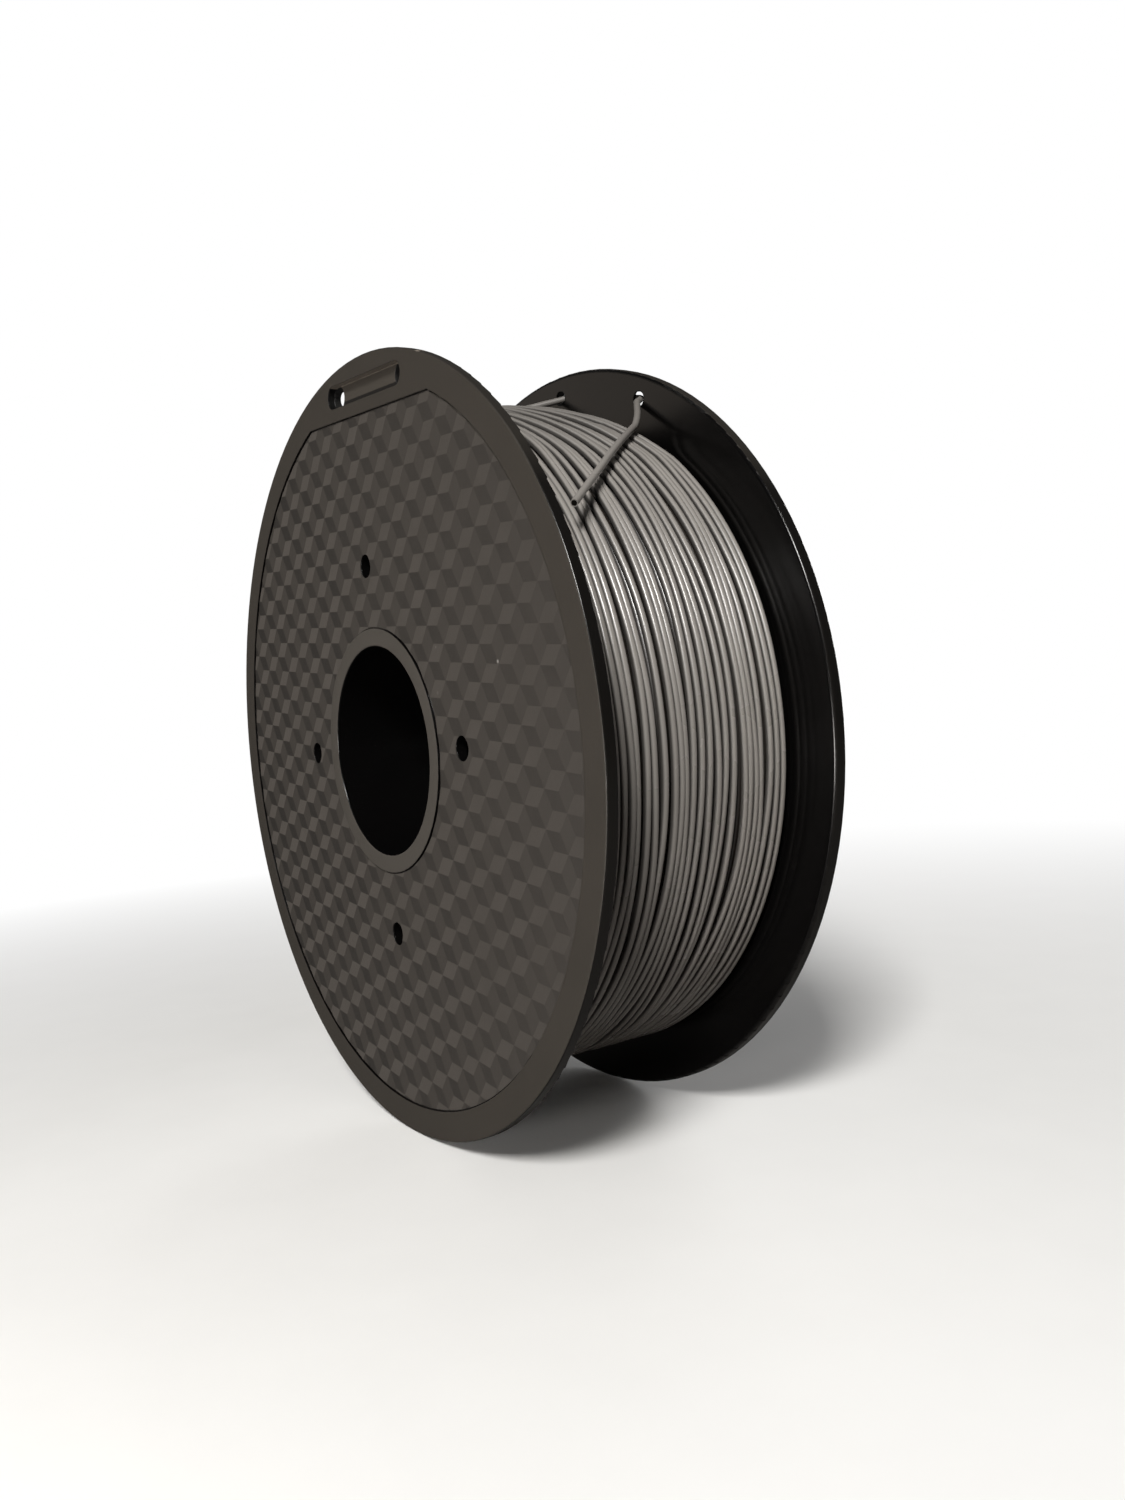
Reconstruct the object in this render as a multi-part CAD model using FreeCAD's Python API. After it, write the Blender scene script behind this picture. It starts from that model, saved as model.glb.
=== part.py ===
# A spool of 1.75 mm printing filament: two moulded halves that snap together at
# mid-width, and one long filament wound on their drum, with its end tucked
# through the rim. Millimetres. The bore runs along Y, the front flange is at -Y,
# and the origin is on the bore's axis at mid-width.
import FreeCAD, Part
import math
import os

V = FreeCAD.Vector
ORIGIN = V(0, 0, 0)
ALONG = V(0, 1, 0)

# Spool as a whole
spool_width = 65.5
flange_radius = 100.0
flange_thickness = 3.25
rim_outer_round = 0.5
rim_inner_round = 0.9

# Bore and drum
bore_radius = 27.15
bore_wall = 2.0
bore_mouth_round = 0.4
drum_radius = 53.3
drum_wall = 2.0
drum_root_round = 1.2
rib_count = 8
rib_thickness = 1.6

# Outer face: ring round the bore, sunk panel and its straight edge below the slot
ring_radius = 31.7
panel_from_rim = 7.5
panel_depth = 0.6
straight_edge_from_rim = 14.1

# Round holes through each flange
drive_hole_radius = 3.0
side_hole_distance = 43.1
upper_hole_distance = 47.9

# Slot near the rim that holds the filament's end
front_slot_angle = 84.9
rear_slot_angle = 75.7
slot_from_rim = 7.8
slot_width = 5.8
slot_length = 42.6
slot_depth = 1.9
slot_hole_straight = 0.6
slot_hole_inner_radius = 1.8

# Snap hooks on the front half and their windows in the rear drum wall
hook_count = 4
hook_first_angle = 45.0
hook_width = 10.0
hook_thickness = 1.8
hook_root_length = 13.0
hook_root_start = 1.0
hook_reach = 9.0
hook_barb_height = 1.5
hook_barb_length = 3.0
snap_clearance = 0.3

# Key that stops the halves turning on each other
key_angle = 178.0
key_width = 4.0
key_length = 3.0

# Filament
filament_diameter = 1.75
winding_from_rim = 13.2
winding_loops = 24
wound_tube_sides = 8
layer_clearance = 0.3
seat_clearance = 0.3
winding_end_angle = 127.0
flange_clearance = 0.35

# Hole in the drum wall for the filament's first end
start_angle = 198.0
start_from_front = 9.0
start_hole_radius = 1.4
start_inward = 6.0
start_run = 16.0
touch_clearance = 0.05

# Filament's last end: from the winding through the rear slot, and the loose tail
arc_share = 0.45
lead_lift = 24.0
threading_radius = 2.4
entry_along = -17.3
entry_outward = 0.3
exit_along = 16.9
exit_outward = 0.3
tail_way = V(0.252, -0.871, -0.424)
tail_first_run = 1.6
tail_start_gap = 0.2

front_face = -spool_width / 2
inner_face = front_face + flange_thickness
panel_radius = flange_radius - panel_from_rim
panel_edge_distance = flange_radius - straight_edge_from_rim
slot_distance = flange_radius - slot_from_rim
wound_radius = flange_radius - winding_from_rim
wire_radius = filament_diameter / 2
turn_radius = wound_radius - wire_radius
core_radius = turn_radius - wire_radius - layer_clearance
drum_inner_radius = drum_radius - drum_wall
bore_outer_radius = bore_radius + bore_wall
slot_floor = front_face + slot_depth
channel_y = -slot_floor + (slot_depth - filament_diameter) / 2 + wire_radius
core_bore = drum_radius + drum_root_round + seat_clearance


def turned(x, z, degrees):
    a = math.radians(degrees)
    return V(x * math.cos(a) - z * math.sin(a), 0, x * math.sin(a) + z * math.cos(a))


def cylinder(radius, start, end, x=0.0, z=0.0):
    return Part.makeCylinder(radius, end - start, V(x, start, z), ALONG)


def block(low, high):
    size = high.sub(low)
    return Part.makeBox(size.x, size.y, size.z, low)


def aimed(shape, degrees):
    # Turns a shape that was made facing +X to face the given angle from +X towards +Z
    shape.rotate(ORIGIN, ALONG, -degrees)
    return shape


def corner_arc(start, end, centre):
    middle = start.add(end).multiply(0.5)
    reach = middle.sub(centre)
    reach.multiply(start.sub(centre).Length / reach.Length)
    return Part.Arc(start, centre.add(reach), end).toShape()


def half_profile():
    # Section of a half, in the plane of +X and Y
    def p(radius, y):
        return V(radius, y, 0)

    mouth = bore_mouth_round
    root = drum_root_round
    edges = [
        Part.makeLine(p(bore_radius, 0), p(bore_radius, front_face + mouth)),
        corner_arc(p(bore_radius, front_face + mouth), p(bore_radius + mouth, front_face),
                   p(bore_radius + mouth, front_face + mouth)),
        Part.makeLine(p(bore_radius + mouth, front_face),
                      p(flange_radius - rim_outer_round, front_face)),
        corner_arc(p(flange_radius - rim_outer_round, front_face),
                   p(flange_radius, front_face + rim_outer_round),
                   p(flange_radius - rim_outer_round, front_face + rim_outer_round)),
        Part.makeLine(p(flange_radius, front_face + rim_outer_round),
                      p(flange_radius, inner_face - rim_inner_round)),
        corner_arc(p(flange_radius, inner_face - rim_inner_round),
                   p(flange_radius - rim_inner_round, inner_face),
                   p(flange_radius - rim_inner_round, inner_face - rim_inner_round)),
        Part.makeLine(p(flange_radius - rim_inner_round, inner_face),
                      p(drum_radius + root, inner_face)),
        corner_arc(p(drum_radius + root, inner_face), p(drum_radius, inner_face + root),
                   p(drum_radius + root, inner_face + root)),
        Part.makeLine(p(drum_radius, inner_face + root), p(drum_radius, 0)),
        Part.makeLine(p(drum_radius, 0), p(drum_inner_radius, 0)),
        Part.makeLine(p(drum_inner_radius, 0), p(drum_inner_radius, inner_face)),
        Part.makeLine(p(drum_inner_radius, inner_face), p(bore_outer_radius, inner_face)),
        Part.makeLine(p(bore_outer_radius, inner_face), p(bore_outer_radius, 0)),
        Part.makeLine(p(bore_outer_radius, 0), p(bore_radius, 0)),
    ]
    return Part.Face(Part.Wire(edges))


def panel_recess(slot_angle):
    panel = cylinder(panel_radius, front_face - 1, front_face + panel_depth)
    ring = cylinder(ring_radius, front_face - 2, front_face + panel_depth + 1)
    kept = aimed(block(V(panel_edge_distance, front_face - 2, -flange_radius),
                       V(flange_radius * 2, 0, flange_radius)), slot_angle)
    return panel.cut([ring, kept])


def oblong(straight, radius, y, along=0.0):
    # Outline with round ends at the slot's distance, made facing +X, its length along Z
    low = V(slot_distance, y, along - straight / 2)
    high = V(slot_distance, y, along + straight / 2)
    side = V(radius, 0, 0)
    end = V(0, 0, radius)
    edges = [Part.makeLine(low.add(side), high.add(side)),
             Part.Arc(high.add(side), high.add(end), high.sub(side)).toShape(),
             Part.makeLine(high.sub(side), low.sub(side)),
             Part.Arc(low.sub(side), low.sub(end), low.add(side)).toShape()]
    return Part.Wire(edges)


def slot_cutters(slot_angle):
    # Channel in the outer face with a tapering hole through the flange at each end
    radius = slot_width / 2
    channel = Part.Face(oblong(slot_length - slot_width, radius, front_face - 1))
    cutters = [channel.extrude(V(0, slot_floor - front_face + 1, 0))]
    slope = (radius - slot_hole_inner_radius) / (inner_face - slot_floor)
    for side in (-1, 1):
        along = side * (slot_length / 2 - radius - slot_hole_straight / 2)
        outer = oblong(slot_hole_straight, radius, slot_floor, along)
        inner = oblong(slot_hole_straight, slot_hole_inner_radius - slope * 0.2,
                       inner_face + 0.2, along)
        cutters.append(Part.makeLoft([outer, inner], True, True))
    return [aimed(shape, slot_angle) for shape in cutters]


def drive_holes():
    places = [(side_hole_distance, 0), (-side_hole_distance, 0),
              (0, upper_hole_distance), (0, -upper_hole_distance)]
    return [cylinder(drive_hole_radius, front_face - 1, inner_face + 1, x, z) for x, z in places]


def ribs():
    made = []
    for i in range(rib_count):
        rib = block(V(bore_outer_radius - bore_wall / 2, inner_face - 0.5, -rib_thickness / 2),
                    V(drum_radius - drum_wall / 2, 0, rib_thickness / 2))
        made.append(aimed(rib, (i + 0.5) * 360 / rib_count))
    return made


def moulded_half(slot_angle):
    # The half as it stands at the front: both halves come from the same tool form
    half = half_profile().revolve(ORIGIN, ALONG, 360)
    half = half.fuse(ribs())
    return half.cut([panel_recess(slot_angle)] + slot_cutters(slot_angle) + drive_holes())


def hook_angles():
    return [hook_first_angle + i * 360 / hook_count for i in range(hook_count)]


def snap_hook():
    # Beam along the inside of the drum wall, with a barb near its tip, made facing +X
    outer = drum_inner_radius - snap_clearance
    inner = outer - hook_thickness
    root_low = -hook_root_start - hook_root_length
    half = hook_width / 2
    beam = block(V(inner, root_low, -half), V(outer, hook_reach, half))
    root = block(V(outer - 0.1, root_low, -half),
                 V(drum_radius - drum_wall / 2, -hook_root_start, half))
    tip = hook_reach
    points = [V(outer - 0.1, tip, -half), V(outer, tip, -half),
              V(outer + hook_barb_height, tip - hook_barb_length + 0.4, -half),
              V(outer + hook_barb_height, tip - hook_barb_length, -half),
              V(outer - 0.1, tip - hook_barb_length, -half)]
    barb = Part.Face(Part.makePolygon(points + points[:1])).extrude(V(0, 0, hook_width))
    return beam.fuse([root, barb])


def snap_window():
    half = hook_width / 2 + snap_clearance
    low = hook_reach - hook_barb_length - snap_clearance
    return block(V(drum_inner_radius - 1, low, -half),
                 V(drum_radius + 1, hook_reach + snap_clearance, half))


def key(clearance):
    half = key_width / 2 + clearance
    low = V(bore_radius - 1, -key_length - clearance, -half)
    bar = block(low, V(bore_outer_radius + 1, 0.5, half))
    tube = cylinder(bore_outer_radius + clearance, -spool_width, spool_width)
    bore = cylinder(bore_radius, -spool_width, spool_width)
    return aimed(bar, key_angle).common(tube).cut(bore)


def start_hole():
    y = inner_face + start_from_front
    drill = Part.makeCylinder(start_hole_radius, 2 * drum_wall,
                              V(drum_inner_radius - drum_wall / 2, y, 0), V(1, 0, 0))
    return aimed(drill, start_angle)


def front_half():
    half = moulded_half(front_slot_angle)
    half = half.fuse([aimed(snap_hook(), a) for a in hook_angles()])
    return half.cut([key(snap_clearance), start_hole()]).removeSplitter()


def rear_half():
    half = moulded_half(rear_slot_angle)
    half = half.mirror(ORIGIN, ALONG)
    half = half.cut([aimed(snap_window(), a) for a in hook_angles()])
    return half.fuse(key(0.0)).removeSplitter()


def filament_core():
    reach = -inner_face - seat_clearance
    outer = cylinder(core_radius, -reach, reach)
    return outer.cut(cylinder(core_bore, -spool_width, spool_width))


def arc_between(start, direction, end):
    # Arc that leaves start along direction and reaches end
    chord = end.sub(start)
    cosine = chord.dot(direction) / chord.Length
    reach = chord.Length / (2 * cosine)
    tip = start.add(V(direction).multiply(reach))
    middle = start.add(end).multiply(0.5)
    rise = tip.sub(middle)
    lean = math.acos(min(1.0, cosine))
    rise.multiply(chord.Length / 2 * math.tan(lean / 2) / rise.Length)
    return Part.Arc(start, middle.add(rise), end)


def biarc(start, start_way, end, end_way):
    # Two tangent arcs between two points with given directions
    gap = end.sub(start)
    ways = start_way.add(end_way)
    a = ways.dot(ways) - 4
    b = -2 * gap.dot(ways)
    c = gap.dot(gap)
    reach = (-b - math.sqrt(b * b - 4 * a * c)) / (2 * a)
    knee = start.add(V(start_way).multiply(reach))
    heel = end.sub(V(end_way).multiply(reach))
    joint = knee.add(heel).multiply(0.5)
    way = heel.sub(knee).normalize()
    return [arc_between(start, start_way, joint), arc_between(joint, way, end)]


def winding_point(turn):
    # Point and direction on the outer layer, which winds from the rear to the front
    travel = -inner_face - flange_clearance - wire_radius
    pitch = 2 * travel / winding_loops
    a = math.radians(winding_end_angle) - 2 * math.pi * (turn - winding_loops)
    place = V(turn_radius * math.cos(a), travel - pitch * turn, turn_radius * math.sin(a))
    run = 2 * math.pi * turn_radius
    way = V(run * math.sin(a), -pitch, -run * math.cos(a))
    return place, way.normalize()


def tube_section(edges, sides):
    # Section at the tube's start: round, or with the given number of sides
    first = edges[0]
    start = first.valueAt(first.FirstParameter)
    circle = Part.Circle(start, first.tangentAt(first.FirstParameter), wire_radius)
    if not sides:
        return Part.Wire(circle.toShape())
    corners = [circle.value(2 * math.pi * i / sides) for i in range(sides)]
    return Part.makePolygon(corners + corners[:1])


def winding_edges():
    place, way = winding_point(0)
    edges = [Part.LineSegment(place.sub(V(way).multiply(filament_diameter)), place).toShape()]
    quarters = 4 * winding_loops
    for i in range(quarters):
        start, start_way = winding_point(i / 4)
        end, end_way = winding_point((i + 1) / 4)
        edges += [arc.toShape() for arc in biarc(start, start_way, end, end_way)]
    end, end_way = winding_point(winding_loops)
    edges.append(Part.LineSegment(end, end.add(V(end_way).multiply(filament_diameter))).toShape())
    return edges


def report_winding_gap():
    steps = 72
    points = [winding_point(i / steps)[0] for i in range(steps * winding_loops + 1)]
    apart = min(points[i].distanceToPoint(points[j])
                for i in range(0, steps * 2) for j in range(i + steps // 2, i + steps * 3 // 2))
    print("winding: least gap to itself %.2f mm" % (apart - filament_diameter))


def rounded_route(points, name, tight={}):
    # Straight runs joined by tangent arcs, each as large as its two runs allow
    # except at the points whose radius is given
    edges = []
    last = points[0]
    printed = []
    for i in range(1, len(points) - 1):
        before = points[i].sub(points[i - 1])
        after = points[i + 1].sub(points[i])
        turn = before.getAngle(after)
        radius = tight.get(i, arc_share * min(before.Length, after.Length) / math.tan(turn / 2))
        trim = radius * math.tan(turn / 2)
        start = points[i].sub(V(before).normalize().multiply(trim))
        end = points[i].add(V(after).normalize().multiply(trim))
        edges.append(Part.LineSegment(last, start).toShape())
        edges.append(arc_between(start, V(before).normalize(), end).toShape())
        last = end
        printed.append("%.1f" % radius)
    edges.append(Part.LineSegment(last, points[-1]).toShape())
    print(name + ": arc radii " + ", ".join(printed) + " mm")
    return edges


def slot_point(along, y, outward=0.0):
    # Point in the rear slot: along it, clockwise as seen from the front, from its middle
    place = turned(slot_distance + outward, -along, rear_slot_angle)
    return V(place.x, y, place.z)


def tail_start():
    # Where the filament comes back through the rear flange, just inside its inner face
    corner = slot_point(exit_along, channel_y, exit_outward)
    way = V(tail_way).normalize()
    travel = (channel_y + inner_face + tail_start_gap) / -way.y
    return corner.add(V(way).multiply(travel)), way


def over_winding(degrees, share, rise):
    # Point over the winding: share is 0 at mid-width and 1 at the rear flange,
    # and rise is in filament diameters
    place = turned(wound_radius + rise * filament_diameter, 0, degrees)
    return V(place.x, -inner_face * share, place.z)


def lead_points():
    end, way = winding_point(winding_loops)
    start = end.add(V(way).multiply(filament_diameter))
    lift = start.add(V(way).multiply(lead_lift))
    return [start, lift, over_winding(104.1, -0.576, 2.0), over_winding(97.0, 0.051, 1.87),
            over_winding(90.6, 0.559, 2.12),
            slot_point(entry_along, channel_y, entry_outward),
            slot_point(exit_along, channel_y, exit_outward), tail_start()[0]]


def tail_points():
    start, way = tail_start()
    return [start, start.add(V(way).multiply(tail_first_run)),
            over_winding(58.4, 0.738, 1.47), over_winding(50.3, 0.288, 0.92),
            over_winding(41.4, -0.186, 1.41), over_winding(33.2, -0.644, 2.99)]


def start_points():
    # In through the drum wall, then along the inside of the drum
    y = inner_face + start_from_front
    outer = turned(core_bore - touch_clearance, 0, start_angle)
    inner = turned(drum_inner_radius - start_inward, 0, start_angle)
    return [V(outer.x, y, outer.z), V(inner.x, y, inner.z), V(inner.x, y + start_run, inner.z)]


def filament_tube(edges, name, sides=0):
    section = tube_section(edges, sides)
    shape = Part.Wire(edges).makePipeShell([section], True, False)
    length = sum(edge.Length for edge in edges)
    expected = Part.Face(section).Area * length
    print("%s: %.1f mm long, volume %.1f of %.1f mm3" % (name, length, shape.Volume, expected))
    return shape


def main():
    os.makedirs("parts", exist_ok=True)
    tight = threading_radius
    lead = rounded_route(lead_points(), "filament_lead", {5: tight, 6: tight})
    tail = rounded_route(tail_points(), "filament_tail")
    first = rounded_route(start_points(), "filament_start")
    report_winding_gap()
    nodes = {
        "front_half": front_half(),
        "rear_half": rear_half(),
        "filament_inner_layers": filament_core(),
        "filament_outer_layer": filament_tube(winding_edges(), "filament_outer_layer",
                                              wound_tube_sides),
        "filament_lead": filament_tube(lead, "filament_lead"),
        "filament_tail": filament_tube(tail, "filament_tail"),
        "filament_start": filament_tube(first, "filament_start"),
    }
    for name, shape in nodes.items():
        if not shape.isValid() or len(shape.Solids) != 1:
            print(name, "valid:", shape.isValid(), "solids:", len(shape.Solids))
        shape.exportStep("parts/" + name + ".step")
        print("%s: %.0f mm3" % (name, shape.Volume))


main()
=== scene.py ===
import math

import bmesh
import bpy
from mathutils import Matrix, Vector


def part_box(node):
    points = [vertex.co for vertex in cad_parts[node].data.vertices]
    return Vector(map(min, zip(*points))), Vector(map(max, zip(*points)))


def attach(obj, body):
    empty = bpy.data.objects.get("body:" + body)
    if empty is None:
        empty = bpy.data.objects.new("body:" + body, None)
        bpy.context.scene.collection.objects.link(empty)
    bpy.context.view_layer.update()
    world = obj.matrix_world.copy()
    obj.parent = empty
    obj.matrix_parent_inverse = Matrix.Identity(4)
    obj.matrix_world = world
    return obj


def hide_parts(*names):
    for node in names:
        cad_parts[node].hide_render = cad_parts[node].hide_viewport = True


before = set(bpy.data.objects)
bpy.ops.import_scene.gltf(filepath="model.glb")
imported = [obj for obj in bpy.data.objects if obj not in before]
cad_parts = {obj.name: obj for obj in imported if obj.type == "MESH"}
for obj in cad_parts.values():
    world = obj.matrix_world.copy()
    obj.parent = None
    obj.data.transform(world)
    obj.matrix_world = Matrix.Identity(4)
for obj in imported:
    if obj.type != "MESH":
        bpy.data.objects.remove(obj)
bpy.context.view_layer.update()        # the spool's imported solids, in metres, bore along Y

mm = 0.001
lowFront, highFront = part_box("front_half")
lowRear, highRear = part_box("rear_half")
spool = {
    "flangeRadius": highFront.x,
    "frontFace": lowFront.y,
    "rearFace": highRear.y,
    "flangeThickness": 3.25 * mm,
    "ringRadius": 31.7 * mm,
    "panelRadius": 92.5 * mm,
    "panelDepth": 0.6 * mm,
    "panelEdge": 85.9 * mm,          # from the axis to the panel's straight edge
    "slotDepth": 1.9 * mm,
    "slotLow": 89.3 * mm,            # from the axis to the slot's lower and upper walls
    "slotHigh": 95.1 * mm,
    "outerRound": 0.5 * mm,
    "innerRound": 0.9 * mm,
    "frontSlotAngle": 84.9,
    "rearSlotAngle": 75.7,
    "holes": [(43.1 * mm, 0), (-43.1 * mm, 0), (0, 47.9 * mm), (0, -47.9 * mm)],
    "holeRadius": 3.0 * mm,
}
spool["floorZ"] = -spool["flangeRadius"]


# Node trees

class Wire:
    # A node's output, with arithmetic that adds Math nodes
    def __init__(self, tree, socket):
        self.tree = tree
        self.socket = socket

    def math(self, operation, *others):
        inputs = dict(enumerate((self,) + others))
        return addNode(self.tree, "ShaderNodeMath", {"operation": operation}, inputs)

    def __add__(self, other):
        return self.math("ADD", other)

    def __sub__(self, other):
        return self.math("SUBTRACT", other)

    def __mul__(self, other):
        return self.math("MULTIPLY", other)

    def __truediv__(self, other):
        return self.math("DIVIDE", other)

    def __rsub__(self, other):
        return addNode(self.tree, "ShaderNodeMath", {"operation": "SUBTRACT"}, {0: other, 1: self})

    __radd__ = __add__
    __rmul__ = __mul__

    def rise(self, start, end):
        # 0 at the start value, 1 at the end value, and no more than that outside them
        return ((self - start) / (end - start)).math("MAXIMUM", 0.0).math("MINIMUM", 1.0)

    def part(self, index):
        split = addNode(self.tree, "ShaderNodeSeparateXYZ", {}, {0: self}, None)
        return Wire(self.tree, split.outputs[index])


def addNode(tree, kind, options, inputs, output=0):
    # Adds a node, sets its options, then fills or links its inputs
    node = tree.nodes.new(kind)
    for name, value in options.items():
        if name == "stops":
            fillRamp(node.color_ramp, value)
        else:
            setattr(node, name, value)
    for name, value in inputs.items():
        socket = node.inputs[name]
        if isinstance(value, Wire):
            tree.links.new(value.socket, socket)
        else:
            socket.default_value = value
    if output is None:
        return node
    return Wire(tree, node.outputs[output])


def fillRamp(ramp, stops):
    while len(ramp.elements) < len(stops):
        ramp.elements.new(1.0)
    for element, (position, value) in zip(ramp.elements, stops):
        element.position = position
        element.color = (value, value, value, 1) if isinstance(value, float) else (*value, 1)


def mixColour(tree, share, low, high):
    ends = [end if isinstance(end, Wire) else (*end, 1) for end in (low, high)]
    return addNode(tree, "ShaderNodeMix", {"data_type": "RGBA"},
                   {0: share, 6: ends[0], 7: ends[1]}, 2)


def mixVector(tree, share, low, high):
    return addNode(tree, "ShaderNodeMix", {"data_type": "VECTOR"}, {0: share, 4: low, 5: high}, 1)


def joinVector(tree, x, y, z):
    return addNode(tree, "ShaderNodeCombineXYZ", {}, {0: x, 1: y, 2: z})


def newMaterial(name, **fixed):
    material = bpy.data.materials.new(name)
    material.use_nodes = True
    shader = material.node_tree.nodes["Principled BSDF"]
    for socket, value in fixed.items():
        shader.inputs[socket.replace("_", " ")].default_value = value
    return material, material.node_tree, shader


def feed(tree, shader, **links):
    for socket, wire in links.items():
        tree.links.new(wire.socket, shader.inputs[socket.replace("_", " ")])


def objectPoint(tree):
    return addNode(tree, "ShaderNodeTexCoord", {}, {}, "Object")


def noise(tree, point, scale, detail=2.0, roughness=0.5, output="Fac"):
    return addNode(tree, "ShaderNodeTexNoise", {},
                   {"Vector": point, "Scale": scale, "Detail": detail, "Roughness": roughness},
                   output)


def ramp(tree, value, *stops):
    return addNode(tree, "ShaderNodeValToRGB", {"stops": stops}, {"Fac": value}, "Color")


def bump(tree, height, distance, strength=1.0, normal=None):
    inputs = {"Height": height, "Distance": distance, "Strength": strength}
    if normal:
        inputs["Normal"] = normal
    return addNode(tree, "ShaderNodeBump", {}, inputs, "Normal")


# Materials

mouldedLook = {
    "black": (0.0016, 0.0015, 0.0015),
    "matt": (0.0330, 0.0287, 0.0238),
    "ring": (0.058, 0.0525, 0.046),
    # The slots' upper wall and floor colours are painted light, lighter than the shade they lie in
    "slotWallPaintedLight": (0.15, 0.130, 0.110),
    "slotFloorPaintedLight": (0.043, 0.0375, 0.0312),
    "dust": (0.20, 0.19, 0.18),
    "mottleShade": 0.26,
    "glossRoughness": 0.13,
    "smearRoughness": 0.12,
    "slotRoughness": 0.3,            # added to the gloss in the slots
    "holeRoughness": 0.5,            # added again in their end holes
    "mattRoughness": 0.50,
    # The rims' matt share makes their tops lighter: painted light, together with a matt finish
    "rimMattAndLight": 0.8,
    "rimMattAndLightLeast": 0.18,
    "rimMattAndLightFrom": 50 * mm,
    "rimMattAndLightTop": 64 * mm,
    "paintedCornerShade": 1.6 * mm,         # reach of the shade along the slots' lower walls
    "grainScale": 5200,
    "grainHeight": 0.012 * mm,
    "edgeSoftness": 0.4 * mm,
}

panelLook = {
    # The facets' colours are painted light, middle and painted shade
    "litFacet": (0.070, 0.0627, 0.0559),
    "middle": (0.0340, 0.0300, 0.0262),
    "shadedFacet": (0.0155, 0.0135, 0.0117),
    "roughness": 0.53,
    "fadeSlope": -4.8,               # across the panel, per metre
    "fadeMiddle": 0.22,
    "fadeMottle": 0.8,
    "fadeLeast": 0.2,
    "mottleShade": 0.15,
}

filamentLook = {
    "base": (0.335, 0.314, 0.291),
    "shade": (0.247, 0.230, 0.212),
    # The side colour is painted shade, down the wound strands' sides and towards the top and bottom
    "side": (0.032, 0.028, 0.024),
    # The deep colour is painted shade on the under layer and the core
    "deep": (0.021, 0.017, 0.014),
    # The cut colour is painted shade on the tail's cut end
    "cut": (0.006, 0.005, 0.004),
    "roughness": 0.22,
    "driftRoughness": 0.10,
    "sideRoughness": 0.45,
    "sideShadeStops": ((0.0, 1.0), (0.36, 1.0), (0.58, 0.58), (0.82, 0.0)),
    "dullFrom": 62 * mm,
    "dullTop": 82 * mm,
    "dullShade": 0.5,
    "dullRoughness": 0.25,
    "lowFrom": 25 * mm,
    "lowEnd": -15 * mm,
    "lowShade": 0.33,
}


def grain(tree, point, look):
    fine = noise(tree, point, look["grainScale"], 3.0, 0.6)
    coarse = noise(tree, point, look["grainScale"] / 6, 2.0)
    return fine * 0.7 + coarse * 0.3


def dustSpecks(tree, point):
    # A few pale specks of dust, far apart
    cells = addNode(tree, "ShaderNodeTexVoronoi", {"feature": "F1"},
                    {"Vector": point, "Scale": 130.0}, "Distance")
    near = ramp(tree, cells, (0.0, 1.0), (0.035, 1.0), (0.07, 0.0))
    patches = ramp(tree, noise(tree, point, 22.0), (0.0, 0.0), (0.60, 0.0), (0.66, 1.0))
    return near * patches


def roundedNormal(tree, point):
    # True normals of the rims' rounds and of the walls round the axis, over the mesh's facets
    x, y, z = point.part(0), point.part(1), point.part(2)
    radius = (x * x + z * z).math("SQRT")
    radial = joinVector(tree, x / radius, 0.0, z / radius)
    depth = y.math("ABSOLUTE")
    inner = depth.math("LESS_THAN", spool["rearFace"] - spool["flangeThickness"] / 2)
    rounding = inner * (spool["innerRound"] - spool["outerRound"]) + spool["outerRound"]
    outward = (radius + rounding - spool["flangeRadius"]).math("MAXIMUM", 0.0)
    innerEnd = spool["rearFace"] - spool["flangeThickness"] + spool["innerRound"]
    along = (depth - innerEnd).math("MINIMUM", 0.0)
    along = along + (depth - spool["rearFace"] + spool["outerRound"]).math("MAXIMUM", 0.0)
    rim = joinVector(tree, x / radius * outward, y.math("SIGN") * along, z / radius * outward)
    rim = addNode(tree, "ShaderNodeVectorMath", {"operation": "NORMALIZE"}, {0: rim})
    soft = addNode(tree, "ShaderNodeBevel", {"samples": 4}, {"Radius": mouldedLook["edgeSoftness"]})
    # Walls round the axis point straight out or in
    plain = addNode(tree, "ShaderNodeTexCoord", {}, {}, "Normal")
    facing = addNode(tree, "ShaderNodeVectorMath", {"operation": "DOT_PRODUCT"},
                     {0: plain, 1: radial}, "Value")
    wall = addNode(tree, "ShaderNodeVectorMath", {"operation": "SCALE"},
                   {0: radial, "Scale": facing.math("SIGN")})
    soft = mixVector(tree, facing.math("ABSOLUTE").math("GREATER_THAN", 0.985), soft, wall)
    return mixVector(tree, outward.math("GREATER_THAN", 0.02 * mm), soft, rim)


def slotDirections():
    # Cosine and sine of the slots' places round the axis, as (front, rear) pairs
    angles = [math.radians(spool[name]) for name in ("frontSlotAngle", "rearSlotAngle")]
    return [[turn(angle) for angle in angles] for turn in (math.cos, math.sin)]


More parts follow.
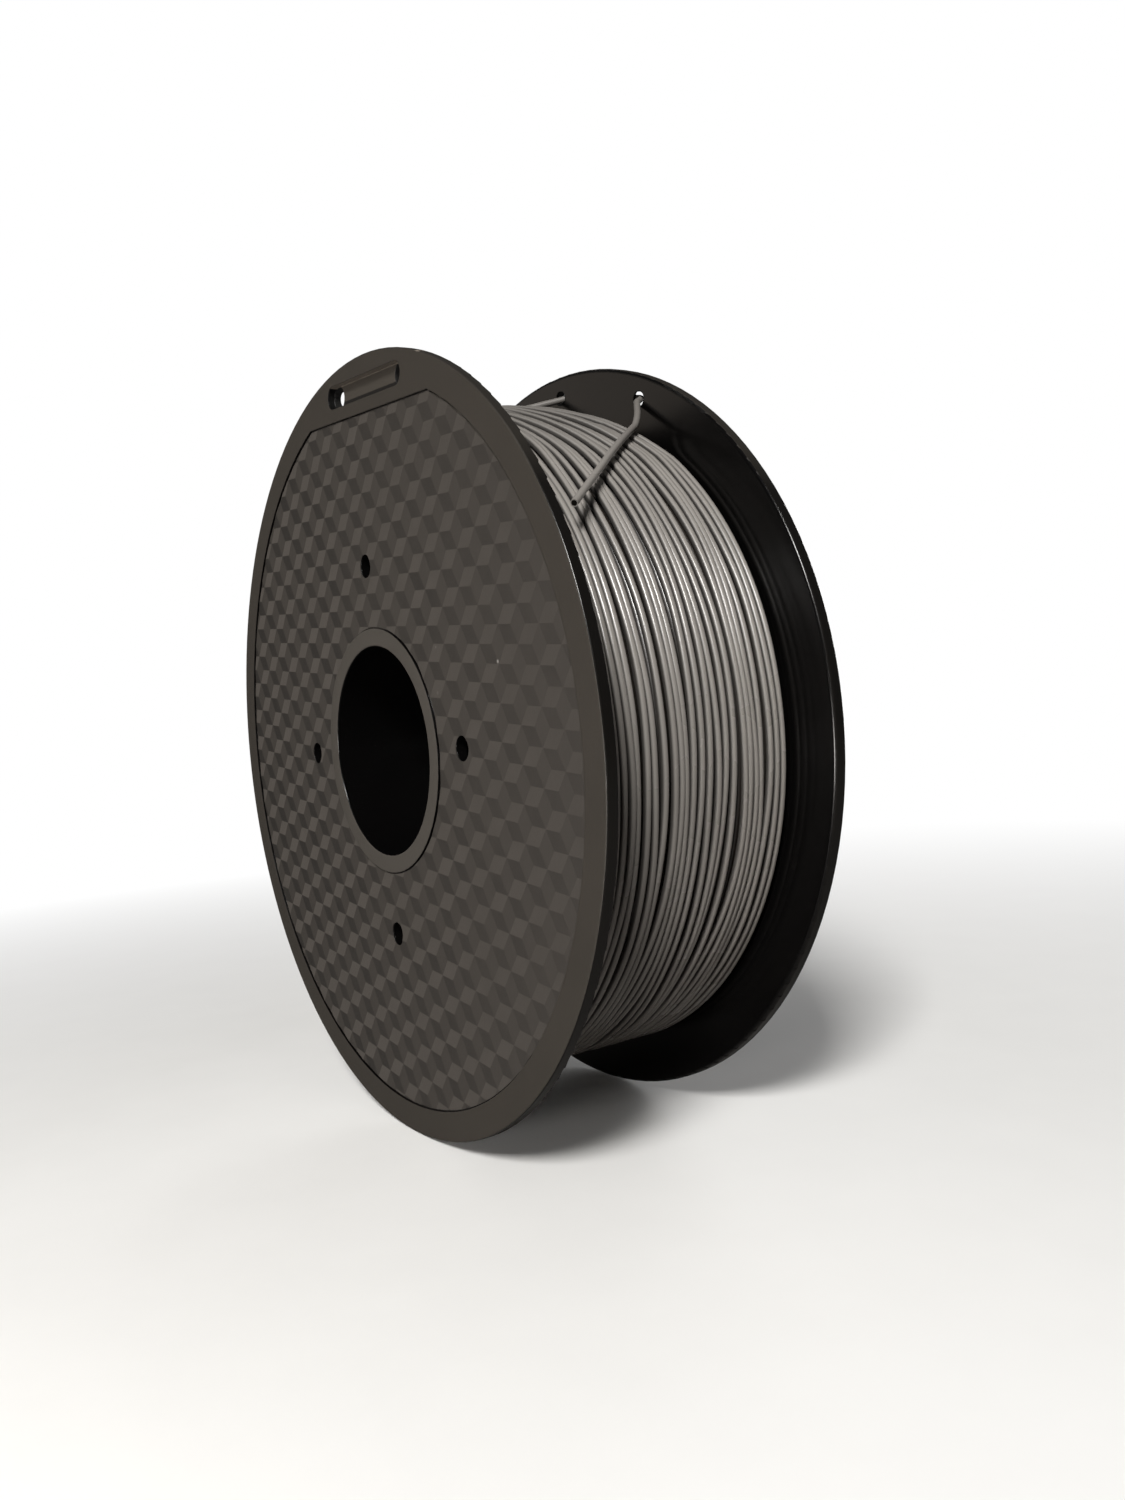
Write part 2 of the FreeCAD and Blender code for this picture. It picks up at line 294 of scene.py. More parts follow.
def slotParts(point, depth, flat):
    # Where the slots' upper wall, floor, lower corner, walls and end holes are, from 0 to 1
    face = spool["rearFace"]
    floorDepth = face - spool["slotDepth"]
    rear = point.part(1).math("GREATER_THAN", 0.0)
    across, upward = [front + rear * (back - front) for front, back in slotDirections()]
    reach = point.part(0) * across + point.part(2) * upward
    high = depth.math("GREATER_THAN", floorDepth - 0.1 * mm)
    high = high * depth.math("LESS_THAN", face - 0.05 * mm)
    high = high * reach.math("COMPARE", spool["slotHigh"], 0.25 * mm)
    floor = depth.math("COMPARE", floorDepth, 0.3 * mm) * flat
    corner = floor * reach.math("COMPARE", spool["slotLow"], mouldedLook["paintedCornerShade"])
    middle = (spool["slotLow"] + spool["slotHigh"]) / 2
    walls = reach.math("COMPARE", middle, middle - spool["slotLow"] + 0.5 * mm)
    walls = walls * depth.math("GREATER_THAN", face - spool["flangeThickness"] + 0.1 * mm)
    holes = walls * depth.math("LESS_THAN", floorDepth - 0.1 * mm)
    return {"high": high, "frontHighPaintedLight": high * (1 - rear), "floor": floor, "corner": corner,
            "walls": walls, "holes": holes}


def makeMouldedPlastic():
    # Black moulding: matt and fine-grained on the outer faces, glossy inside and in the bore
    look = mouldedLook
    material, tree, shader = newMaterial("mouldedPlastic", Specular_IOR_Level=0.32)
    point = objectPoint(tree)
    depth = point.part(1).math("ABSOLUTE")
    radius = (point.part(0) * point.part(0) + point.part(2) * point.part(2)).math("SQRT")
    facing = addNode(tree, "ShaderNodeTexCoord", {}, {}, "Normal").part(1).math("ABSOLUTE")
    flat = facing.math("GREATER_THAN", 0.75)
    outer = depth.math("GREATER_THAN", spool["rearFace"] - spool["slotDepth"] - 0.1 * mm) * flat
    # The strip of sunk floor left open beside the panel's wall is painted in deep shade with the
    # glossy black
    sunkPaintedShade = depth.math("COMPARE", spool["rearFace"] - spool["panelDepth"], 0.25 * mm)
    outer = outer * (1 - sunkPaintedShade)
    # In the slot the upper wall is matt like its floor and, on the front flange, painted lighter as
    # painted light; the floor is painted lighter too, and the lower corner is painted in shade
    slot = slotParts(point, depth, flat)
    outer = outer.math("MAXIMUM", slot["high"])
    # The rims take the matt colour and roughness near the top, and a little so further down: partly
    # a matt finish, partly painted light on the rims' tops
    rimTopLight = point.part(2).rise(look["rimMattAndLightFrom"], look["rimMattAndLightTop"])
    rimTopLight = rimTopLight.math("MAXIMUM", look["rimMattAndLightLeast"])
    rim = radius.math("GREATER_THAN", spool["flangeRadius"] - 0.3 * mm) * rimTopLight
    outer = outer.math("MAXIMUM", rim * look["rimMattAndLight"])
    mottle = noise(tree, point, 60.0, 4.0, 0.6)
    matt = mixColour(tree, radius.math("LESS_THAN", spool["ringRadius"] + 0.1 * mm),
                     look["matt"], look["ring"])
    shaded = mixColour(tree, look["mottleShade"], matt, (0.0, 0.0, 0.0))
    matt = mixColour(tree, mottle, shaded, matt)
    smears = noise(tree, point, 35.0, 5.0, 0.65)
    gloss = mixColour(tree, smears, look["black"], [share * 1.5 for share in look["black"]])
    colour = mixColour(tree, outer, gloss, matt)
    # Painted light on the slot floor and the front upper wall, painted shade in the lower corner
    colour = mixColour(tree, slot["floor"], colour, look["slotFloorPaintedLight"])
    colour = mixColour(tree, slot["frontHighPaintedLight"], colour, look["slotWallPaintedLight"])
    colour = mixColour(tree, slot["corner"], colour, look["black"])
    colour = mixColour(tree, dustSpecks(tree, point) * outer, colour, look["dust"])
    glossRoughness = smears * look["smearRoughness"] + look["glossRoughness"]
    glossRoughness = glossRoughness + slot["walls"] * look["slotRoughness"]
    glossRoughness = glossRoughness + slot["holes"] * look["holeRoughness"]
    roughness = outer * (look["mattRoughness"] - glossRoughness) + glossRoughness
    height = grain(tree, point, look) * (outer * 0.9 + 0.04)
    feed(tree, shader, Base_Color=colour, Roughness=roughness,
         Normal=bump(tree, height, look["grainHeight"] * 6, normal=roundedNormal(tree, point)))
    return material


def makePanelPlastic():
    # Sunk panel: each facet of the block pattern is painted lighter or darker, as painted light and
    # shade on facets turned different ways, under the same fine grain
    look = panelLook
    material, tree, shader = newMaterial("panelPlastic", Specular_IOR_Level=0.4)
    point = objectPoint(tree)
    tone = addNode(tree, "ShaderNodeAttribute", {"attribute_name": "tone"}, {}, "Fac")
    mottle = noise(tree, point, 55.0, 4.0, 0.6)
    # The painted light and shade of the pattern is plainest on the left and fades unevenly to the
    # right
    fade = point.part(0) * look["fadeSlope"] + mottle * look["fadeMottle"] + look["fadeMiddle"]
    fade = fade.math("MAXIMUM", look["fadeLeast"]).math("MINIMUM", 1.0)
    litFacet = tone.math("GREATER_THAN", 0.75) * fade
    shadedFacet = tone.math("LESS_THAN", 0.25) * fade
    colour = mixColour(tree, litFacet, look["middle"], look["litFacet"])
    colour = mixColour(tree, shadedFacet, colour, look["shadedFacet"])
    colour = mixColour(tree, mottle * look["mottleShade"], colour, (0.0, 0.0, 0.0))
    colour = mixColour(tree, dustSpecks(tree, point), colour, mouldedLook["dust"])
    roughness = look["roughness"] - litFacet * 0.05 + shadedFacet * 0.08 + mottle * 0.08
    feed(tree, shader, Base_Color=colour, Roughness=roughness,
         Normal=bump(tree, grain(tree, point, mouldedLook), mouldedLook["grainHeight"] * 6))
    return material


def makeFilamentPlastic():
    # Warm grey strand with a silky gloss, its tone drifting along and between turns
    look = filamentLook
    material, tree, shader = newMaterial("filamentPlastic", Specular_IOR_Level=0.85)
    point = objectPoint(tree)
    drift = noise(tree, point, 40.0, 3.0)
    strand = addNode(tree, "ShaderNodeAttribute", {"attribute_name": "turn"}, {}, "Fac")
    between = noise(tree, strand, 3.1, 1.0)
    share = drift * 0.5 + between * 0.5
    colour = mixColour(tree, share, look["shade"], look["base"])
    # Wound strands are painted darker down their sides, where they meet their neighbours: painted
    # shade
    normal = addNode(tree, "ShaderNodeTexCoord", {}, {}, "Normal")
    outward = addNode(tree, "ShaderNodeVectorMath", {"operation": "NORMALIZE"},
                      {0: joinVector(tree, point.part(0), 0.0, point.part(2))})
    facing = addNode(tree, "ShaderNodeVectorMath", {"operation": "DOT_PRODUCT"},
                     {0: normal, 1: outward}, "Value")
    side = ramp(tree, facing, *look["sideShadeStops"])
    side = side * strand.math("GREATER_THAN", 0.001)
    colour = mixColour(tree, side, colour, look["side"])
    # Painted shade on the under layer and the core
    under = addNode(tree, "ShaderNodeAttribute", {"attribute_name": "deep"}, {}, "Fac")
    colour = mixColour(tree, under, colour, look["deep"])
    # Painted shade: the tail's cut end is painted nearly black
    end = addNode(tree, "ShaderNodeVectorMath", {"operation": "DISTANCE"},
                  {0: point, 1: [value * mm for value in tail["route"][-1]]}, "Value")
    colour = mixColour(tree, end.math("LESS_THAN", 0.66 * mm), colour, look["cut"])
    # The filament loses its gloss towards the top, and is painted darker there and lower down:
    # painted shade
    topShadeAndDull = point.part(2).rise(look["dullFrom"], look["dullTop"])
    low = point.part(2).rise(look["lowFrom"], look["lowEnd"])
    paintedShade = topShadeAndDull * look["dullShade"] + low * look["lowShade"]
    colour = mixColour(tree, paintedShade, colour, look["side"])
    roughness = drift * look["driftRoughness"] + look["roughness"]
    roughness = roughness + side * look["sideRoughness"] + topShadeAndDull * look["dullRoughness"]
    fine = noise(tree, point, 2500.0, 2.0)
    feed(tree, shader, Base_Color=colour, Roughness=roughness,
         Normal=bump(tree, fine, 0.02 * mm))
    return material


# Objects and geometry trees

def place(name, data):
    # A new object at the origin, in the scene
    piece = bpy.data.objects.new(name, data)
    bpy.context.scene.collection.objects.link(piece)
    return piece


def evaluated(holder):
    # The mesh that an object's modifiers make
    graph = bpy.context.evaluated_depsgraph_get()
    return bpy.data.meshes.new_from_object(holder.evaluated_get(graph))


def meshObject(name, mesh):
    data = bpy.data.meshes.new(name)
    mesh.to_mesh(data)
    mesh.free()
    return place(name, data)


def cutBy(body, tool, operation):
    # The body's mesh with the tool cut out of it, or only what lies in the tool
    step = body.modifiers.new("cut", "BOOLEAN")
    step.operation = operation
    step.solver = "EXACT"
    step.object = tool
    mesh = evaluated(body)
    for spare in (body, tool):
        bpy.data.objects.remove(spare)
    return mesh


def settle(piece):
    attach(piece, "root")


def newTree(name):
    tree = bpy.data.node_groups.new(name, "GeometryNodeTree")
    tree.interface.new_socket("Geometry", in_out="OUTPUT", socket_type="NodeSocketGeometry")
    return tree


def treeInputs(tree, floats=(), counts=()):
    # Named inputs of a tree, as wires; counts are whole numbers
    for name in floats:
        tree.interface.new_socket(name, in_out="INPUT", socket_type="NodeSocketFloat")
    for name in counts:
        tree.interface.new_socket(name, in_out="INPUT", socket_type="NodeSocketInt")
    entry = tree.nodes.new("NodeGroupInput")
    return {name: Wire(tree, entry.outputs[name]) for name in (*floats, *counts)}


def endTree(tree, geometry, material):
    whole = addNode(tree, "GeometryNodeRealizeInstances", {}, {"Geometry": geometry})
    dressed = addNode(tree, "GeometryNodeSetMaterial", {},
                      {"Geometry": whole, "Material": material})
    leave = tree.nodes.new("NodeGroupOutput")
    tree.links.new(dressed.socket, leave.inputs[0])
    return tree


def grow(name, tree, values):
    # Runs a geometry tree with its inputs set and keeps the result as a plain mesh
    holder = place(name + "Source", bpy.data.meshes.new(name + "Source"))
    modifier = holder.modifiers.new("grow", "NODES")
    modifier.node_group = tree
    for item in tree.interface.items_tree:
        if item.in_out == "INPUT" and item.name in values:
            modifier[item.identifier] = values[item.name]
    mesh = evaluated(holder)
    mesh.name = name
    bpy.data.objects.remove(holder)
    return place(name, mesh)


# Filament

winding = {
    "wireRadius": 0.875 * mm,
    "outerRadius": 86.8 * mm,
    "endAngle": math.radians(127.0),
    "outerTurns": 26,
    "underTurns": 30,
    "outerSeed": 3.7,
    "underSeed": 11.2,
    "halfWidth": 28.275 * mm,
    "stepsPerTurn": 180,
    "sides": 16,
    "sideWander": 2.8 * mm,          # of neighbouring turns together
    "turnWander": 1.4 * mm,          # of each turn by itself
    "depthWander": 0.70 * mm,
    "edgeRise": 14,                  # how soon the turns beside the flanges start to wander
    "bunchAngle": math.radians(96.0),
    "bunch": 0.52,                   # how far the turns crowd to the front at the top
    "bunchEnd": 0.80,                # radians from there to where the crowding ends
    "bunchFull": 0.24,
    "bunchStretch": 0.7,             # under 1, it ends further away behind the top
    "bunchLift": 1.3 * mm,
    "liftEnd": 0.90,
    "liftFull": 0.40,
    "levels": 0.9 * mm,              # between the lowest turn's height and the highest's
    "levelStep": 0.618,              # share of a cycle from one turn to the next
    "paceStep": 0.381,
    "bulgeAngle": math.radians(66.0),
    "bulgeSpread": 0.24,
    "bulge": 2.3 * mm,               # of the rear turns, where they ride over the rest
    "layerStep": 2.1 * mm,
    "coreRadius": 83.4 * mm,
    "coreInner": 56 * mm,
}

# The second layer lies evenly, is seen only in the gaps, is wound the other way, and is painted in
# shade
underLayer = {
    "Direction": -1.0, "Side Wander": 0.3 * mm, "Turn Wander": 0.4 * mm,
    "Depth Wander": 0.1 * mm, "Bunch": 0.0, "Bunch Lift": 0.0, "Levels": 0.0, "Bulge": 0.0,
    "Steps Per Turn": 96, "Sides": 8, "Deep": 1.0,
}


def windingTree(material):
    # A helix whose turns wander sideways and in depth, swept with a round section
    tree = newTree("windingTurns")
    floats = ("Radius", "Half Width", "Wire Radius", "Side Wander", "Turn Wander", "Depth Wander",
              "End Angle", "Bunch Angle", "Bunch", "Bunch Lift",
              "Levels", "Bulge Angle", "Bulge", "Seed", "Direction", "Deep")
    wires = treeInputs(tree, floats, ("Turns", "Steps Per Turn", "Sides"))
    count = wires["Turns"] * wires["Steps Per Turn"] + 1
    line = addNode(tree, "GeometryNodeMeshLine", {}, {"Count": count})
    turn = addNode(tree, "GeometryNodeInputIndex", {}, {}) / wires["Steps Per Turn"]
    angle = wires["End Angle"] - (turn - wires["Turns"]) * (2 * math.pi)
    across = angle.math("COSINE")
    upward = angle.math("SINE")
    together = joinVector(tree, across * 0.8, turn * 0.3 + wires["Seed"], upward * 0.8)
    alone = joinVector(tree, across * 1.1, turn * 3.7 + wires["Seed"], upward * 1.1)
    drift = (noise(tree, together, 1.0, 1.0) - 0.5) * wires["Side Wander"] * 2
    own = (noise(tree, alone, 1.0, 1.0) - 0.5) * wires["Turn Wander"] * 2
    lift = noise(tree, alone, 1.9, 0.0) - 0.6
    share = turn / wires["Turns"]
    edges = (share * (1 - share) * winding["edgeRise"]).math("MINIMUM", 1.0)
    sideways = (1 - share * 2) * wires["Half Width"] + (drift + own) * edges
    radius = wires["Radius"] + lift * wires["Depth Wander"]
    # Near the top the turns crowd towards the front, each at a height and pace of its own
    offset = angle - wires["Bunch Angle"]
    number = (offset / (2 * math.pi) + 0.5).math("FLOOR")
    level = (number * winding["levelStep"]).math("FRACT")
    pace = (number * winding["paceStep"] + 0.3).math("FRACT") * 0.3 + 0.85
    offset = offset - number * (2 * math.pi)
    away = (offset * winding["bunchStretch"]).math("MAXIMUM", offset * -1)
    near = away.rise(winding["bunchEnd"], winding["bunchFull"])
    near = near * near * (3 - near * 2)
    crowd = near * wires["Bunch"] * pace
    sideways = sideways * (1 - crowd) - wires["Half Width"] * crowd
    sideways = sideways.math("MAXIMUM", wires["Half Width"] * -1)
    sideways = sideways.math("MINIMUM", wires["Half Width"])
    radius = radius + (level - 1) * wires["Levels"] * (offset.math("COSINE") * 0.5 + 0.5)
    rising = away.rise(winding["liftEnd"], winding["liftFull"])
    radius = radius + rising * wires["Bunch Lift"] * (level * 0.4 + (1 - share) * 0.7)
    beside = (angle - number * (2 * math.pi) - wires["Bulge Angle"]) / winding["bulgeSpread"]
    swell = (1 - beside * beside).math("MAXIMUM", 0.0) * (1 - share)
    radius = radius + swell * swell * wires["Bulge"]
    point = joinVector(tree, across * radius, sideways * wires["Direction"], upward * radius)
    curve = addNode(tree, "GeometryNodeMeshToCurve", {}, {"Mesh": line})
    curve = addNode(tree, "GeometryNodeSetPosition", {}, {"Geometry": curve, "Position": point})
    for name, value in (("turn", turn), ("deep", wires["Deep"])):
        curve = addNode(tree, "GeometryNodeStoreNamedAttribute",
                        {"data_type": "FLOAT", "domain": "POINT"},
                        {"Geometry": curve, "Name": name, "Value": value})
    ring = addNode(tree, "GeometryNodeCurvePrimitiveCircle", {},
                   {"Resolution": wires["Sides"], "Radius": wires["Wire Radius"]})
    strand = addNode(tree, "GeometryNodeCurveToMesh", {},
                     {"Curve": curve, "Profile Curve": ring, "Fill Caps": True})
    strand = addNode(tree, "GeometryNodeSetShadeSmooth", {}, {"Geometry": strand})
    return endTree(tree, strand, material)


def layerValues(turns, radius, seed, changed):
    values = {
        "Turns": turns, "Radius": radius, "Half Width": winding["halfWidth"],
        "Wire Radius": winding["wireRadius"], "Side Wander": winding["sideWander"],
        "Turn Wander": winding["turnWander"], "Depth Wander": winding["depthWander"],
        "End Angle": winding["endAngle"], "Seed": seed, "Direction": 1.0, "Deep": 0.0,
        "Bunch Angle": winding["bunchAngle"], "Bunch": winding["bunch"],
        "Bunch Lift": winding["bunchLift"], "Levels": winding["levels"],
        "Bulge Angle": winding["bulgeAngle"], "Bulge": winding["bulge"],
        "Steps Per Turn": winding["stepsPerTurn"], "Sides": winding["sides"],
    }
    values.update(changed)
    return values


def makeWinding(material):
    tree = windingTree(material)
    radius = winding["outerRadius"] - winding["wireRadius"]
    values = layerValues(winding["outerTurns"], radius, winding["outerSeed"], {})
    outer = grow("filamentOuterTurns", tree, values)
    radius = radius - winding["layerStep"]
    values = layerValues(winding["underTurns"], radius, winding["underSeed"], underLayer)
    under = grow("filamentUnderTurns", tree, values)
    core = turnedRing("filamentCore", winding["coreRadius"], winding["coreInner"],
                      winding["halfWidth"])
    # The core is painted in shade like the under layer
    deep = core.data.attributes.new("deep", "FLOAT", "POINT")
    deep.data.foreach_set("value", [1.0] * len(core.data.vertices))
    core.data.materials.append(material)
    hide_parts("filament_outer_layer")
    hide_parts("filament_inner_layers")
    for piece in (outer, under, core):
        settle(piece)
    print("winding:", [len(piece.data.polygons) for piece in (outer, under, core)], "faces")


def turnedRing(name, outer, inner, half, steps=180):
    # A plain ring round the bore's axis
    mesh = bmesh.new()
    rings = []
    for i in range(steps):
        a = 2 * math.pi * i / steps
        corners = [(outer, -half), (outer, half), (inner, half), (inner, -half)]
        rings.append([mesh.verts.new((r * math.cos(a), y, r * math.sin(a))) for r, y in corners])
    for i in range(steps):
        here, there = rings[i], rings[(i + 1) % steps]
        for j in range(4):
            k = (j + 1) % 4
            mesh.faces.new((here[j], here[k], there[k], there[j]))
    bmesh.ops.recalc_face_normals(mesh, faces=mesh.faces)
    return meshObject(name, mesh)


tail = {
    "route": [(39.95, 29.30, 84.24), (40.75, 28.5, 83.5), (43.9, 26.0, 79.6), (46.2, 23.3, 76.7),
              (46.95, 22.3, 75.9), (48.3, 20.0, 74.6), (56.5, 8.5, 68.0), (67.0, -5.5, 59.0),
              (77.0, -19.0, 50.4)],
    "diameter": 1.75 * mm,
    "length": 70.0 * mm,
}


def makeTail(material):
    # The loose end: out of the rear flange's slot and across the winding to its cut end
    curve = bpy.data.curves.new("filamentTail", "CURVE")
    curve.dimensions = "3D"
    spline = curve.splines.new("NURBS")
    spline.points.add(len(tail["route"]) - 1)
    for point, spot in zip(spline.points, tail["route"]):
        point.co = (*[value * mm for value in spot], 1)
    spline.order_u = 3
    spline.use_endpoint_u = True
    spline.resolution_u = 12
    curve.bevel_depth = tail["diameter"] / 2
    curve.bevel_resolution = 6
    curve.use_fill_caps = True
    curve.materials.append(material)
    piece = place("filamentTail", curve)
    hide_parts("filament_tail")
    settle(piece)


# Sunk panel with its block pattern

panel = {
    "columnPitch": 8.17 * mm,
    "rowPitch": 8.53 * mm,
    "relief": 0.13 * mm,
    "lift": 0.17 * mm,
    "wallGap": 0.35 * mm,
    "phase": (1.1 * mm, -2.0 * mm),
}


def blockPattern():
    # Three facets to each six-sided cell, seen as a stack of blocks, as a closed sheet
    mesh = bmesh.new()
    tone = mesh.faces.layers.float.new("tone")
    side = panel["columnPitch"] / 1.5
    corners = {}

    def corner(x, z, height):
        key = (round(x / side * 4), round(z / panel["rowPitch"] * 4))
        if key not in corners:
            corners[key] = mesh.verts.new((x, height, z))
        return corners[key]

    columns = int(spool["panelRadius"] / panel["columnPitch"]) + 2
    rows = int(spool["panelRadius"] / panel["rowPitch"]) + 2
    half = panel["rowPitch"] / 2
    relief = panel["relief"]
    for i in range(-columns, columns + 1):
        for j in range(-rows, rows + 1):
            x = i * panel["columnPitch"]
            z = (j + 0.5 * (i % 2)) * panel["rowPitch"]
            middle = corner(x, z, -relief)
            ends = [(side, 0), (side / 2, half), (-side / 2, half), (-side, 0), (-side / 2, -half),
                    (side / 2, -half)]
            ring = [corner(x + u, z + v, 0 if n % 2 else relief) for n, (u, v) in enumerate(ends)]
            # Each facet's value picks its painted light or shade in the panel's material
            for value, (a, b, c) in zip((1.0, 0.5, 0.0), ((1, 2, 3), (5, 0, 1), (3, 4, 5))):
                face = mesh.faces.new((middle, ring[a], ring[b], ring[c]))
                face[tone] = value
    return mesh


def makePanel(name, faceY, outward, slotAngle, material):
    # The block pattern trimmed to the panel's outline and laid on the flange's sunk floor
    mesh = blockPattern()
    raised = panel["lift"]
    back = bmesh.ops.extrude_face_region(mesh, geom=list(mesh.faces))
    for item in back["geom"]:
        if isinstance(item, bmesh.types.BMVert):
            item.co.y = raised
    shift = Vector((panel["phase"][0], 0, panel["phase"][1]))
    for vert in mesh.verts:
        vert.co += shift
    bmesh.ops.recalc_face_normals(mesh, faces=mesh.faces)
    sheet = meshObject(name + "Sheet", mesh)
    data = cutBy(sheet, panelCutter(name + "Cutter", slotAngle), "INTERSECT")
    # The pattern was made facing -Y with the slot straight up
    floorY = faceY - outward * spool["panelDepth"]
    data.transform(Matrix.Rotation(math.radians(90 - slotAngle), 4, "Y"))
    if outward > 0:
        data.transform(Matrix.Rotation(math.pi, 4, "Z"))
    data.transform(Matrix.Translation((0, floorY + outward * raised, 0)))
    data.materials.append(material)
    data.name = name
    settle(place(name, data))
    print(name, len(data.polygons), "faces")


def panelCutter(name, slotAngle):
    # The panel's outline as a prism: round, with a straight upper edge, a bore and four holes
    mesh = bmesh.new()
    gap = panel["wallGap"]
    outer = spool["panelRadius"] - gap
    edge = spool["panelEdge"] - gap
    reach = math.acos(edge / outer)
    start = math.pi / 2 + reach
    end = math.pi / 2 - reach + 2 * math.pi
    steps = 180
    rim = [(outer * math.cos(start + (end - start) * i / steps),
            outer * math.sin(start + (end - start) * i / steps)) for i in range(steps + 1)]
    addPrism(mesh, rim)
    body = meshObject(name, mesh)
    holes = bmesh.new()
    addPrism(holes, circlePoints((0, 0), spool["ringRadius"] + gap, 120))
    for x, z in spool["holes"]:
        middle = unturned(x, z, slotAngle)
        addPrism(holes, circlePoints(middle, spool["holeRadius"] + 0.02 * mm, 40))
    drills = meshObject(name + "Holes", holes)
    return place(name, cutBy(body, drills, "DIFFERENCE"))


def unturned(x, z, slotAngle):
    # A hole's place in the pattern's own frame, which is turned afterwards
    a = math.radians(90 - slotAngle)
    return (x * math.cos(a) - z * math.sin(a), x * math.sin(a) + z * math.cos(a))


def circlePoints(centre, radius, steps):
    return [(centre[0] + radius * math.cos(2 * math.pi * i / steps),
             centre[1] + radius * math.sin(2 * math.pi * i / steps)) for i in range(steps)]


def addPrism(mesh, outline, half=2 * mm):
    low = [mesh.verts.new((x, -half, z)) for x, z in outline]
    high = [mesh.verts.new((x, half, z)) for x, z in outline]
    mesh.faces.new(low)
    mesh.faces.new(high[::-1])
    for i in range(len(outline)):
        k = (i + 1) % len(outline)
        mesh.faces.new((low[i], high[i], high[k], low[k]))
    bmesh.ops.recalc_face_normals(mesh, faces=mesh.faces)


# Camera, lamps and floor

view = {
    "place": (288.95 * mm, -167.43 * mm, 8.31 * mm),
    "right": (0.5527, 0.8292, -0.0828),
    "up": (0.0143, 0.0898, 0.9959),
    "ahead": (-0.8332, 0.5516, -0.0378),
    "lens": 29.18,
}


def makeCamera():
    data = bpy.data.cameras.new("camera")
    data.lens = view["lens"]
    data.sensor_width = 36.0
    data.clip_start = 0.01
    camera = place("camera", data)
    axes = Matrix((view["right"], view["up"], [-value for value in view["ahead"]])).transposed()
    camera.matrix_world = Matrix.Translation(view["place"]) @ axes.to_4x4()
    bpy.context.scene.camera = camera


# The key makes the strands' highlights, and the face lamp lifts the lower part of the face
lamps = {
    "keyLamp": {"place": (0.80, -0.75, 0.82), "target": (0, 0, 0), "size": (0.30, 0.30),
                "power": 21, "colour": (1.0, 0.985, 0.96)},
    "wallLamp": {"place": (-0.95, -1.2, 0.3), "target": (0, 0, 0.02), "size": (1.6, 0.8),
                 "power": 2.25, "colour": (1.0, 0.87, 0.74)},
    "faceLamp": {"place": (0.18, -0.36, -0.055), "target": (0.06, -0.03, -0.03),
                 "size": (0.14, 0.07), "power": 0.85, "colour": (1.0, 0.96, 0.92)},
    "rearLamp": {"place": (-0.9, 1.1, 0.12), "target": (0, 0, 0), "size": (0.8, 0.42),
                 "power": 12, "colour": (1, 1, 1)},
}


def addLamp(name, setting):
    data = bpy.data.lights.new(name, "AREA")
    data.shape = "RECTANGLE"
    data.size, data.size_y = setting["size"]
    data.energy = setting["power"]
    data.color = setting["colour"]
    lamp = place(name, data)
    lamp.location = setting["place"]
    way = Vector(setting["target"]) - Vector(setting["place"])
    lamp.rotation_mode = "QUATERNION"
    lamp.rotation_quaternion = way.to_track_quat("-Z", "Y")


studio = {
    "halfWidth": 3.0,
    "dimLight": (0.06, 0.06, 0.06),
    "paper": ((0.88, 0.88, 0.87), (0.92, 0.92, 0.91)),
    "dimPaper": (0.20, 0.19, 0.18),
    "paperEnd": 0.14,                # from the axis to where the paper starts to brighten
    "whiteStart": 0.62,              # and to where it is as white as the backdrop
}


def cameraRay(tree):
    return addNode(tree, "ShaderNodeLightPath", {}, {}, "Is Camera Ray")


def makeBackdrop():
    world = bpy.data.worlds.new("world")
    bpy.context.scene.world = world
    world.use_nodes = True
    tree = world.node_tree
    back = tree.nodes["Background"]
    white = mixColour(tree, cameraRay(tree), studio["dimLight"], (1, 1, 1))
    tree.links.new(white.socket, back.inputs["Color"])
    back.inputs["Strength"].default_value = 1.0


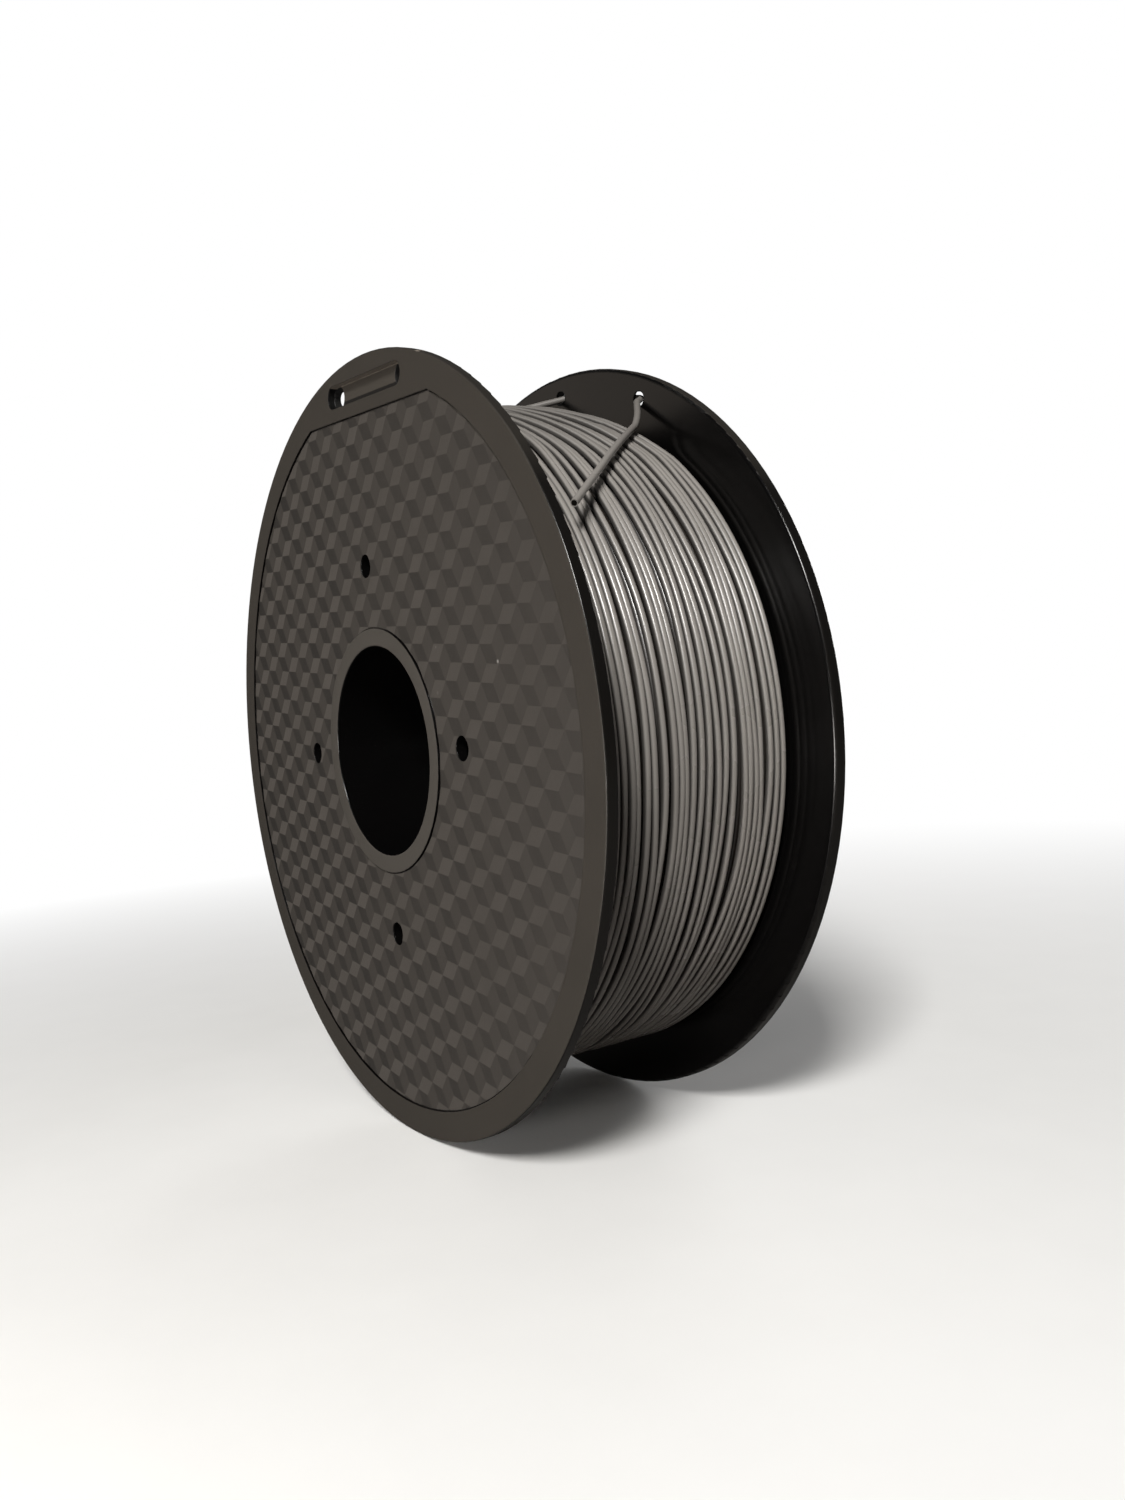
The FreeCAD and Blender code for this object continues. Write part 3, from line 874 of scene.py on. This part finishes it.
def makeFloor():
    # Pale paper that brightens to the backdrop's white away from the spool
    mesh = bmesh.new()
    half = studio["halfWidth"]
    corners = [(-half, -half), (half, -half), (half, half), (-half, half)]
    mesh.faces.new([mesh.verts.new((x, y, spool["floorZ"] - 0.2 * mm)) for x, y in corners])
    floor = meshObject("floor", mesh)
    material, tree, shader = newMaterial("floorPaper", Roughness=0.8, Specular_IOR_Level=0.2)
    point = objectPoint(tree)
    watched = cameraRay(tree)
    paper = mixColour(tree, noise(tree, point, 40.0, 3.0), *studio["paper"])
    feed(tree, shader, Base_Color=mixColour(tree, watched, studio["dimPaper"], paper))
    away = (point.part(0) * point.part(0) + point.part(1) * point.part(1)).math("SQRT")
    share = ramp(tree, away, (0.0, 0.0), (studio["paperEnd"], 0.0), (studio["whiteStart"], 1.0))
    white = addNode(tree, "ShaderNodeEmission", {}, {"Color": (1, 1, 1, 1), "Strength": 1.0})
    blend = addNode(tree, "ShaderNodeMixShader", {}, {0: watched * share}, None)
    tree.links.new(shader.outputs[0], blend.inputs[1])
    tree.links.new(white.socket, blend.inputs[2])
    tree.links.new(blend.outputs[0], tree.nodes["Material Output"].inputs["Surface"])
    floor.data.materials.append(material)


def main():
    scene = bpy.context.scene
    scene.view_settings.view_transform = "Standard"
    makeCamera()
    makeBackdrop()
    makeFloor()
    for name, setting in lamps.items():
        addLamp(name, setting)
    print("camera, floor and lamps made")
    moulded = makeMouldedPlastic()
    panelPlastic = makePanelPlastic()
    filament = makeFilamentPlastic()
    for name in ("front_half", "rear_half"):
        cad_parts[name].data.materials.clear()
        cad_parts[name].data.materials.append(moulded)
    for name in ("filament_lead", "filament_start"):
        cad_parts[name].data.materials.clear()
        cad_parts[name].data.materials.append(filament)
    print("materials made")
    makeTail(filament)
    makeWinding(filament)
    makePanel("frontPanelRelief", spool["frontFace"], -1, spool["frontSlotAngle"], panelPlastic)
    makePanel("rearPanelRelief", spool["rearFace"], 1, 180 - spool["rearSlotAngle"], panelPlastic)


main()
